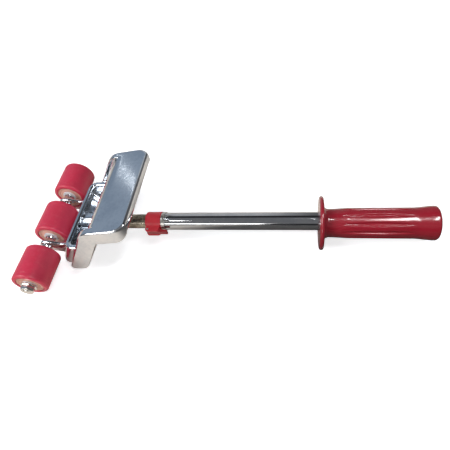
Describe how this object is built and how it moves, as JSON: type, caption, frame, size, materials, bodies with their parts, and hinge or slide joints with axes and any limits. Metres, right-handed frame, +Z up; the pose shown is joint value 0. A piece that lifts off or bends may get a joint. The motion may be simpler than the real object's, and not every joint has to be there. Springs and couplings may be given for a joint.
{
  "type": "seam roller",
  "caption": "Hand roller with three soft rollers in a row on one axle, a cast head with a palm plate, and a telescoping tube handle with flip-lever clamp and fluted grip.",
  "frame": {"origin": "under the middle of the overall box, at the level of the lowest point", "axes": "+X from the rollers along the tube to the grip, +Y along the roller axle, +Z up on the palm plate side"},
  "size_m": [0.4306, 0.1786, 0.0881],
  "materials": {
    "cast_alloy": "polished casting with a few darker foundry hollows",
    "inner_tube_plating": "dull darker plating with fine scuffs",
    "outer_tube_plating": "bright plating",
    "zinc_steel": "bright zinc plating",
    "spacer_plating": "bright plating",
    "red_tyre": "satin moulded elastomer",
    "roller_core": "matt moulded plastic, salmon",
    "bush_nylon": "satin nylon",
    "liner_nylon": "satin nylon",
    "collar_plastic": "gloss moulded plastic",
    "lever_plastic": "gloss moulded plastic, dark tip",
    "plug_plastic": "matt moulded plastic",
    "grip_vinyl": "high gloss soft vinyl"
  },
  "bodies": {
    "head": {"head_casting": "cast_alloy", "inner_tube": "inner_tube_plating", "socket_pin": "zinc_steel", "tube_stop": "plug_plastic", "axle_rod": "zinc_steel", "axle_nuts": "zinc_steel", "axle_washers": "zinc_steel", "ear_spacers": "spacer_plating"},
    "roller_near": {"tyre_near": "red_tyre", "core_near": "roller_core", "bushes_near": "bush_nylon"},
    "roller_middle": {"tyre_middle": "red_tyre", "core_middle": "roller_core", "bushes_middle": "bush_nylon"},
    "roller_far": {"tyre_far": "red_tyre", "core_far": "roller_core", "bushes_far": "bush_nylon"},
    "liner": {"guide_liner": "liner_nylon"},
    "handle": {"outer_tube": "outer_tube_plating", "tube_plug": "plug_plastic", "ferrule": "zinc_steel", "clamp_collar": "collar_plastic", "lever_pin": "zinc_steel", "collar_screws": "zinc_steel", "grip": "grip_vinyl"},
    "lever": {"cam_lever": "lever_plastic"}
  },
  "joints": [
    {"name": "spin_near", "type": "hinge", "parent": "head", "child": "roller_near", "pos_m": [-0.1963, -0.0611, 0.0255], "axis": [0, 1, 0], "continuous": true},
    {"name": "spin_middle", "type": "hinge", "parent": "head", "child": "roller_middle", "pos_m": [-0.1963, 0, 0.0255], "axis": [0, 1, 0], "continuous": true},
    {"name": "spin_far", "type": "hinge", "parent": "head", "child": "roller_far", "pos_m": [-0.1963, 0.0611, 0.0255], "axis": [0, 1, 0], "continuous": true},
    {"name": "handle_slide", "type": "slide", "parent": "head", "child": "liner", "axis": [1, 0, 0], "range_m": [-0.0035, 0.234]},
    {"name": "handle_twist", "type": "hinge", "parent": "liner", "child": "handle", "pos_m": [-0.0683, 0, 0.0289], "axis": [1, 0, 0], "continuous": true},
    {"name": "lever_flip", "type": "hinge", "parent": "handle", "child": "lever", "pos_m": [-0.0772, -0.01353, 0.0289], "axis": [0, 0, -1], "range_deg": [0, 110]}
  ]
}
